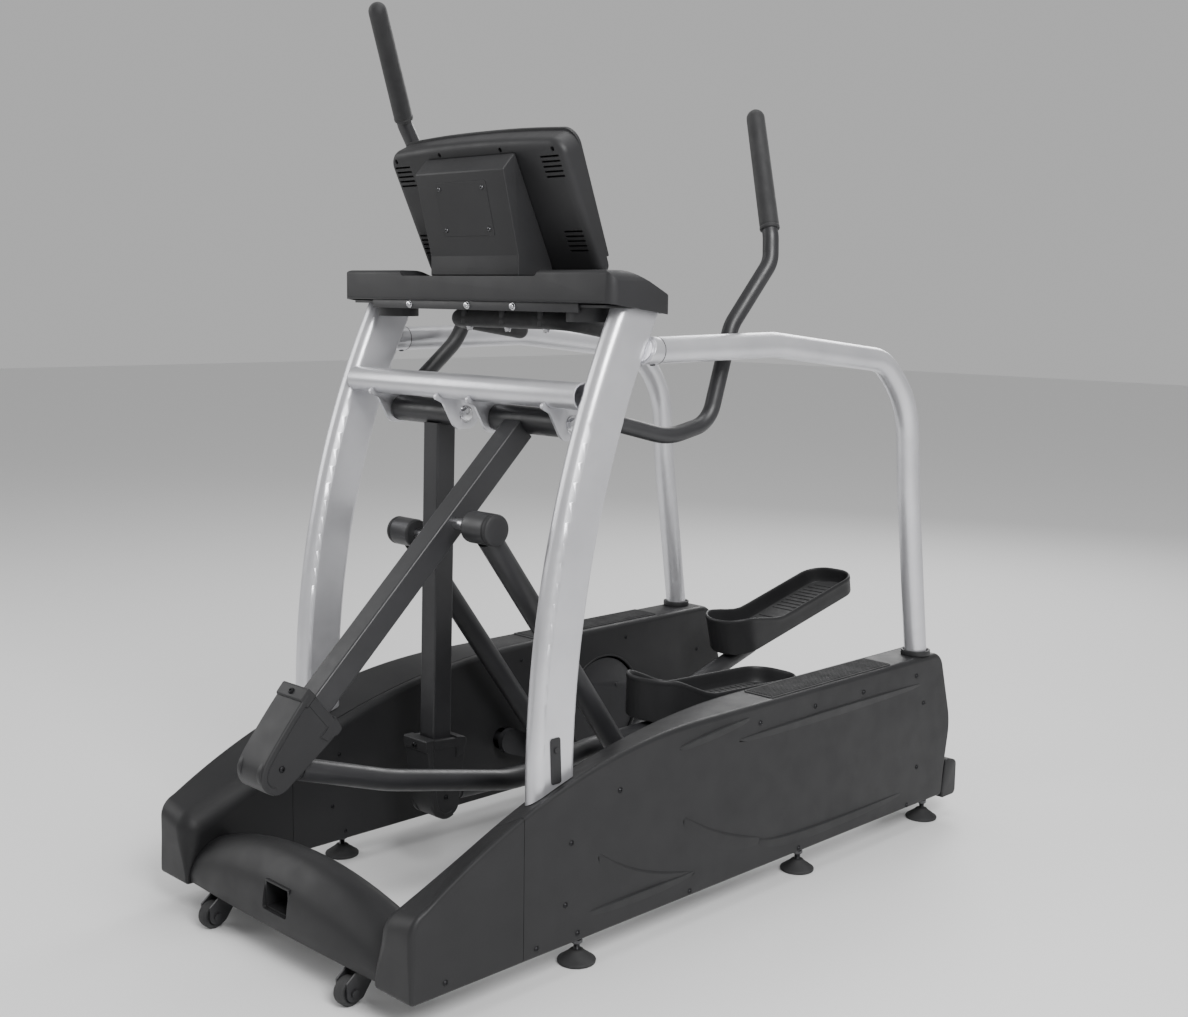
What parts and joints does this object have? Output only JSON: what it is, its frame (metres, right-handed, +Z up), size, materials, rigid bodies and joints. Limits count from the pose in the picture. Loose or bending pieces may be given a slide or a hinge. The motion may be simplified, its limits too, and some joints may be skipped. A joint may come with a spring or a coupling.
{
  "type": "elliptical trainer",
  "caption": "Free-standing elliptical stepping trainer: side pods, curved uprights, swinging rockers with handles, foot links with deep pedals, handrails, tray and console.",
  "frame": {"origin": "on the floor, under the middle of the machine's overall box at rest", "axes": "+X to the machine's right side, +Y to its rear, where the user steps on, +Z up"},
  "size_m": [0.8046, 1.9906, 1.7678],
  "materials": {
    "silver_paint": "satin silver powder coat",
    "dark_paint": "satin charcoal powder coat",
    "cover_plastic": "fine-grained charcoal moulding",
    "trim_plastic": "fine-grained dark grey moulding",
    "pedal_plastic": "satin charcoal moulding",
    "pad_rubber": "ribbed dark grey tread",
    "grip_foam": "dipped black foam",
    "wheel_rubber": "smooth black",
    "belt_rubber": "ribbed black",
    "bare_steel": "turned steel",
    "screw_chrome": "bright plated",
    "screen_glass": "dark glossy panel"
  },
  "bodies": {
    "frame": {"base_rails": "dark_paint", "console_back": "trim_plastic", "console_bezel": "trim_plastic", "console_neck": "trim_plastic", "console_screen": "screen_glass", "crossbar": "silver_paint", "cup_holders": "trim_plastic", "drive_belts": "belt_rubber", "fixed_grips": "grip_foam", "fixed_handlebar": "dark_paint", "front_caps": "cover_plastic", "front_shroud": "cover_plastic", "handrail_l": "silver_paint", "handrail_r": "silver_paint", "inner_cover_l": "cover_plastic", "inner_cover_r": "cover_plastic", "leveler_feet": "wheel_rubber", "outer_cover_l": "cover_plastic", "outer_cover_r": "cover_plastic", "pivot_pins": "screw_chrome", "power_inlet": "cover_plastic", "rail_joins": "trim_plastic", "rear_crossmember": "cover_plastic", "screws": "screw_chrome", "shaft_bearings": "bare_steel", "slot_plates": "trim_plastic", "step_pads": "pad_rubber", "tray": "trim_plastic", "tray_plate": "dark_paint", "upright_l": "silver_paint", "upright_r": "silver_paint", "wheel_forks": "dark_paint"},
    "rocker_r": {"pivot_tube_r": "dark_paint", "rocker_arm_r": "dark_paint", "boot_cover_r": "trim_plastic", "rocker_pins_r": "bare_steel", "handle_tube_r": "dark_paint", "handle_grip_r": "grip_foam"},
    "drive_rod_r": {"drive_rod_r": "dark_paint"},
    "foot_link_r": {"foot_link_r": "dark_paint", "pedal_r": "pedal_plastic"},
    "crank_r": {"crank_r": "dark_paint"},
    "drive_disc_r": {"drive_disc_r": "dark_paint"},
    "transport_wheel_r": {"transport_wheel_r": "wheel_rubber"},
    "rocker_l": {"pivot_tube_l": "dark_paint", "rocker_arm_l": "dark_paint", "boot_cover_l": "trim_plastic", "rocker_pins_l": "bare_steel", "handle_tube_l": "dark_paint", "handle_grip_l": "grip_foam"},
    "drive_rod_l": {"drive_rod_l": "dark_paint"},
    "foot_link_l": {"foot_link_l": "dark_paint", "pedal_l": "pedal_plastic"},
    "crank_l": {"crank_l": "dark_paint"},
    "drive_disc_l": {"drive_disc_l": "dark_paint"},
    "transport_wheel_l": {"transport_wheel_l": "wheel_rubber"},
    "console_key_1": {"console_key_1": "trim_plastic"},
    "console_key_2": {"console_key_2": "trim_plastic"},
    "console_key_3": {"console_key_3": "trim_plastic"},
    "console_key_4": {"console_key_4": "trim_plastic"}
  },
  "joints": [
    {"name": "rocker_r_swing", "type": "hinge", "parent": "frame", "child": "rocker_r", "pos_m": [0, -0.3614, 0.971], "axis": [1, 0, 0], "range_deg": [0, 45]},
    {"name": "rocker_l_swing", "type": "hinge", "parent": "frame", "child": "rocker_l", "pos_m": [0, -0.3614, 0.971], "axis": [1, 0, 0], "range_deg": [-45, 0]},
    {"name": "drive_rod_r_pivot", "type": "hinge", "parent": "rocker_r", "child": "drive_rod_r", "pos_m": [0, -0.54483, 0.79386], "axis": [1, 0, 0], "range_deg": [-45, 0]},
    {"name": "foot_link_r_pivot", "type": "hinge", "parent": "rocker_r", "child": "foot_link_r", "pos_m": [0, -0.92968, 0.42222], "axis": [1, 0, 0], "range_deg": [-29.1, 0]},
    {"name": "crank_r_spin", "type": "hinge", "parent": "frame", "child": "crank_r", "pos_m": [0, -0.038, 0.193], "axis": [1, 0, 0], "range_deg": [0, 180]},
    {"name": "drive_disc_r_spin", "type": "hinge", "parent": "frame", "child": "drive_disc_r", "pos_m": [0, 0.2966, 0.21], "axis": [1, 0, 0], "range_deg": [0, 414.1]},
    {"name": "transport_wheel_r_spin", "type": "hinge", "parent": "frame", "child": "transport_wheel_r", "pos_m": [0.219, -0.8404, 0.026], "axis": [1, 0, 0], "continuous": true},
    {"name": "drive_rod_l_pivot", "type": "hinge", "parent": "rocker_l", "child": "drive_rod_l", "pos_m": [0, -0.36585, 0.71604], "axis": [1, 0, 0], "range_deg": [0, 45]},
    {"name": "foot_link_l_pivot", "type": "hinge", "parent": "rocker_l", "child": "foot_link_l", "pos_m": [0, -0.37519, 0.18112], "axis": [1, 0, 0], "range_deg": [0, 29.1]},
    {"name": "crank_l_spin", "type": "hinge", "parent": "frame", "child": "crank_l", "pos_m": [0, -0.038, 0.193], "axis": [1, 0, 0], "range_deg": [0, 180]},
    {"name": "drive_disc_l_spin", "type": "hinge", "parent": "frame", "child": "drive_disc_l", "pos_m": [0, 0.2966, 0.21], "axis": [1, 0, 0], "range_deg": [0, 414.1]},
    {"name": "transport_wheel_l_spin", "type": "hinge", "parent": "frame", "child": "transport_wheel_l", "pos_m": [-0.219, -0.8404, 0.026], "axis": [1, 0, 0], "continuous": true},
    {"name": "console_key_1_press", "type": "slide", "parent": "frame", "child": "console_key_1", "axis": [0, -0.9026, -0.4305], "range_m": [0, 0.0015], "stiffness_N_per_m": 400},
    {"name": "console_key_2_press", "type": "slide", "parent": "frame", "child": "console_key_2", "axis": [0, -0.9026, -0.4305], "range_m": [0, 0.0015], "stiffness_N_per_m": 400},
    {"name": "console_key_3_press", "type": "slide", "parent": "frame", "child": "console_key_3", "axis": [0, -0.9026, -0.4305], "range_m": [0, 0.0015], "stiffness_N_per_m": 400},
    {"name": "console_key_4_press", "type": "slide", "parent": "frame", "child": "console_key_4", "axis": [0, -0.9026, -0.4305], "range_m": [0, 0.0015], "stiffness_N_per_m": 400}
  ],
  "couplings": [
    {"joint": "rocker_l_swing", "follows": "rocker_r_swing", "ratio": -1},
    {"joint": "drive_rod_r_pivot", "follows": "rocker_r_swing", "ratio": -1},
    {"joint": "foot_link_r_pivot", "follows": "rocker_r_swing", "ratio": -0.64444},
    {"joint": "crank_r_spin", "follows": "rocker_r_swing", "ratio": 4},
    {"joint": "drive_disc_r_spin", "follows": "rocker_r_swing", "ratio": 9.2},
    {"joint": "drive_rod_l_pivot", "follows": "rocker_r_swing", "ratio": 1},
    {"joint": "foot_link_l_pivot", "follows": "rocker_r_swing", "ratio": 0.64444},
    {"joint": "crank_l_spin", "follows": "rocker_r_swing", "ratio": 4},
    {"joint": "drive_disc_l_spin", "follows": "rocker_r_swing", "ratio": 9.2}
  ]
}
